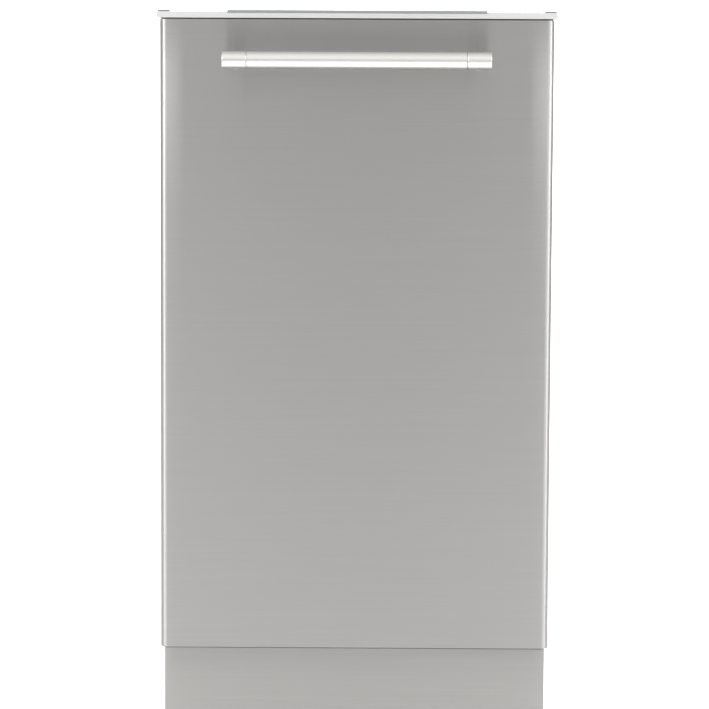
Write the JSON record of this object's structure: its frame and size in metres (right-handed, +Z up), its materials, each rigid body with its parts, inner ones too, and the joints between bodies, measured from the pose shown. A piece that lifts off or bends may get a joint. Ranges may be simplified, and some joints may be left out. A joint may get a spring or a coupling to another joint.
{
  "type": "built-in dishwasher",
  "caption": "Built-in dishwasher with a drop-down brushed steel door, round bar handle, top-edge controls, two sliding racks, spray arms and a set-back plinth.",
  "frame": {"origin": "on the floor, under the middle of the whole object with its handle", "axes": "+Z up, -Y out of the front of the door, +X to the right as seen from the front"},
  "size_m": [0.448, 0.623, 0.82],
  "materials": {
    "brushed_steel": "brushed along the width, fine grain",
    "tub_steel": "bright rolled stainless steel",
    "galvanised_steel": "zinc coated, satin",
    "spring_steel": "oiled spring wire",
    "cap_plastic": "fine moulded satin",
    "strip_plastic": "gloss",
    "button_plastic": "fine moulded satin",
    "dark_plastic": "moulded",
    "grey_plastic": "moulded satin",
    "white_plastic": "moulded satin",
    "coated_wire": "nylon coated wire",
    "seal_rubber": "matt",
    "sound_pad": "felted fibre"
  },
  "bodies": {
    "root": {"tub": "tub_steel", "tub_gasket": "seal_rubber", "sump": "dark_plastic", "coarse_filter": "tub_steel", "water_duct": "grey_plastic", "latch_strike": "galvanised_steel", "top_crossbar": "galvanised_steel", "base_tray": "dark_plastic", "kick_plate": "brushed_steel", "wash_pump": "dark_plastic", "drain_pump": "white_plastic", "inlet_valve": "white_plastic", "terminal_box": "dark_plastic", "side_frame_left": "galvanised_steel", "side_frame_right": "galvanised_steel", "rail_outer_left": "galvanised_steel", "rail_outer_right": "galvanised_steel", "balance_spring_left": "spring_steel", "balance_spring_right": "spring_steel"},
    "door": {"door_panel": "brushed_steel", "door_liner": "tub_steel", "control_console": "cap_plastic", "control_strip": "strip_plastic", "handle_bar": "brushed_steel", "handle_post_left": "brushed_steel", "handle_post_right": "brushed_steel", "hinge_arm_left": "galvanised_steel", "hinge_arm_right": "galvanised_steel", "dispenser_body": "white_plastic"},
    "upper_rails": {"rail_inner_left": "galvanised_steel", "rail_inner_right": "galvanised_steel"},
    "upper_rack": {"upper_rack": "coated_wire", "spray_manifold": "grey_plastic"},
    "lower_rack": {"lower_rack": "coated_wire", "lower_rack_floor": "coated_wire"},
    "dispenser_lid": {"dispenser_lid": "grey_plastic"},
    "rinse_aid_cap": {"rinse_aid_cap": "dark_plastic"},
    "latch_pawl": {"latch_pawl": "dark_plastic"},
    "power_button": {"power_button": "button_plastic"},
    "program_button": {"program_button": "button_plastic"},
    "option_button": {"option_button": "button_plastic"},
    "start_button": {"start_button": "button_plastic"},
    "cup_shelf": {"cup_shelf": "grey_plastic"},
    "upper_spray_arm": {"upper_spray_arm": "grey_plastic"},
    "folding_tines": {"folding_tines": "coated_wire"},
    "cutlery_basket": {"cutlery_basket": "grey_plastic"},
    "front_wheel_left": {"front_wheel_left": "grey_plastic"},
    "rear_wheel_left": {"rear_wheel_left": "grey_plastic"},
    "front_wheel_right": {"front_wheel_right": "grey_plastic"},
    "rear_wheel_right": {"rear_wheel_right": "grey_plastic"},
    "filter_cylinder": {"filter_cylinder": "grey_plastic"},
    "float_cap": {"float_cap": "grey_plastic"},
    "top_sprayer": {"top_sprayer": "grey_plastic"},
    "lower_spray_arm": {"lower_spray_arm": "grey_plastic"},
    "front_left_foot": {"front_left_foot": "dark_plastic"},
    "front_right_foot": {"front_right_foot": "dark_plastic"},
    "rear_left_foot": {"rear_left_foot": "dark_plastic"},
    "rear_right_foot": {"rear_right_foot": "dark_plastic"},
    "spring_hook_left": {"spring_hook_left": "galvanised_steel"},
    "spring_hook_right": {"spring_hook_right": "galvanised_steel"}
  },
  "joints": [
    {"name": "door_hinge", "type": "hinge", "parent": "root", "child": "door", "pos_m": [0, -0.2195, 0.115], "axis": [1, 0, 0], "range_deg": [0, 90], "stiffness_Nm_per_rad": 18, "springref_deg": -8.59},
    {"name": "upper_rails_slide", "type": "slide", "parent": "root", "child": "upper_rails", "axis": [0, -1, 0], "range_m": [0, 0.2001]},
    {"name": "upper_rack_slide", "type": "slide", "parent": "upper_rails", "child": "upper_rack", "axis": [0, -1, 0], "range_m": [0, 0.2001]},
    {"name": "lower_rack_slide", "type": "slide", "parent": "root", "child": "lower_rack", "axis": [0, -1, 0], "range_m": [0, 0.1401]},
    {"name": "front_wheel_left_roll", "type": "hinge", "parent": "lower_rack", "child": "front_wheel_left", "pos_m": [-0.193, -0.0975, 0.1453], "axis": [1, 0, 0], "range_deg": [0, 450]},
    {"name": "rear_wheel_left_roll", "type": "hinge", "parent": "lower_rack", "child": "rear_wheel_left", "pos_m": [-0.193, 0.1945, 0.1453], "axis": [1, 0, 0], "range_deg": [0, 450]},
    {"name": "front_wheel_right_roll", "type": "hinge", "parent": "lower_rack", "child": "front_wheel_right", "pos_m": [0.193, -0.0975, 0.1453], "axis": [1, 0, 0], "range_deg": [0, 450]},
    {"name": "rear_wheel_right_roll", "type": "hinge", "parent": "lower_rack", "child": "rear_wheel_right", "pos_m": [0.193, 0.1945, 0.1453], "axis": [1, 0, 0], "range_deg": [0, 450]},
    {"name": "spring_hook_left_slide", "type": "slide", "parent": "root", "child": "spring_hook_left", "axis": [0, -1, 0], "range_m": [0, 0.0629], "deforming": ["balance_spring_left"]},
    {"name": "spring_hook_right_slide", "type": "slide", "parent": "root", "child": "spring_hook_right", "axis": [0, -1, 0], "range_m": [0, 0.0629], "deforming": ["balance_spring_right"]},
    {"name": "filter_cylinder_turn", "type": "hinge", "parent": "root", "child": "filter_cylinder", "pos_m": [0, -0.0435, 0.12], "axis": [0, 0, 1], "range_deg": [0, 90]},
    {"name": "float_cap_lift", "type": "slide", "parent": "root", "child": "float_cap", "axis": [0, 0, 1], "range_m": [0, 0.008]},
    {"name": "top_sprayer_spin", "type": "hinge", "parent": "root", "child": "top_sprayer", "pos_m": [0, 0.0385, 0.777], "axis": [0, 0, 1], "continuous": true},
    {"name": "lower_spray_arm_spin", "type": "hinge", "parent": "root", "child": "lower_spray_arm", "pos_m": [0, 0.0385, 0.142], "axis": [0, 0, 1], "continuous": true},
    {"name": "upper_spray_arm_spin", "type": "hinge", "parent": "upper_rack", "child": "upper_spray_arm", "pos_m": [0, 0.0385, 0.427], "axis": [0, 0, 1], "continuous": true},
    {"name": "cup_shelf_fold", "type": "hinge", "parent": "upper_rack", "child": "cup_shelf", "pos_m": [-0.1735, 0.0395, 0.516], "axis": [0, 1, 0], "range_deg": [0, 90]},
    {"name": "folding_tines_fold", "type": "hinge", "parent": "lower_rack", "child": "folding_tines", "pos_m": [-0.026, 0.0395, 0.167], "axis": [0, -1, 0], "range_deg": [0, 90]},
    {"name": "cutlery_basket_lift", "type": "slide", "parent": "lower_rack", "child": "cutlery_basket", "axis": [0, 0, 1], "range_m": [0, 0.1]},
    {"name": "front_left_foot_turn", "type": "hinge", "parent": "root", "child": "front_left_foot", "pos_m": [-0.185, -0.1455, 0.004], "axis": [0, 0, 1], "continuous": true},
    {"name": "front_right_foot_turn", "type": "hinge", "parent": "root", "child": "front_right_foot", "pos_m": [0.185, -0.1455, 0.004], "axis": [0, 0, 1], "continuous": true},
    {"name": "rear_left_foot_turn", "type": "hinge", "parent": "root", "child": "rear_left_foot", "pos_m": [-0.185, 0.2655, 0.004], "axis": [0, 0, 1], "continuous": true},
    {"name": "rear_right_foot_turn", "type": "hinge", "parent": "root", "child": "rear_right_foot", "pos_m": [0.185, 0.2655, 0.004], "axis": [0, 0, 1], "continuous": true},
    {"name": "power_button_press", "type": "slide", "parent": "door", "child": "power_button", "axis": [0, 0, -1], "range_m": [0, 0.0012], "stiffness_N_per_m": 400, "springref_m": -0.0008},
    {"name": "program_button_press", "type": "slide", "parent": "door", "child": "program_button", "axis": [0, 0, -1], "range_m": [0, 0.0012], "stiffness_N_per_m": 400, "springref_m": -0.0008},
    {"name": "option_button_press", "type": "slide", "parent": "door", "child": "option_button", "axis": [0, 0, -1], "range_m": [0, 0.0012], "stiffness_N_per_m": 400, "springref_m": -0.0008},
    {"name": "start_button_press", "type": "slide", "parent": "door", "child": "start_button", "axis": [0, 0, -1], "range_m": [0, 0.0012], "stiffness_N_per_m": 400, "springref_m": -0.0008},
    {"name": "latch_pawl_turn", "type": "hinge", "parent": "door", "child": "latch_pawl", "pos_m": [0, -0.2345, 0.783], "axis": [-1, 0, 0], "range_deg": [0, 25], "stiffness_Nm_per_rad": 0.05, "springref_deg": -17.19},
    {"name": "dispenser_lid_slide", "type": "slide", "parent": "door", "child": "dispenser_lid", "axis": [1, 0, 0], "range_m": [0, 0.062]},
    {"name": "rinse_aid_cap_turn", "type": "hinge", "parent": "door", "child": "rinse_aid_cap", "pos_m": [0.042, -0.2165, 0.5015], "axis": [0, 1, 0], "range_deg": [0, 90]}
  ],
  "couplings": [
    {"joint": "upper_rails_slide", "follows": "door_hinge", "m_per_rad": 0.12732},
    {"joint": "upper_rack_slide", "follows": "door_hinge", "m_per_rad": 0.12732},
    {"joint": "lower_rack_slide", "follows": "door_hinge", "m_per_rad": 0.089127},
    {"joint": "spring_hook_left_slide", "follows": "door_hinge", "m_per_rad": 0.04},
    {"joint": "spring_hook_right_slide", "follows": "door_hinge", "m_per_rad": 0.04},
    {"joint": "front_wheel_left_roll", "follows": "door_hinge", "ratio": 4.9515},
    {"joint": "rear_wheel_left_roll", "follows": "door_hinge", "ratio": 4.9515},
    {"joint": "front_wheel_right_roll", "follows": "door_hinge", "ratio": 4.9515},
    {"joint": "rear_wheel_right_roll", "follows": "door_hinge", "ratio": 4.9515}
  ]
}
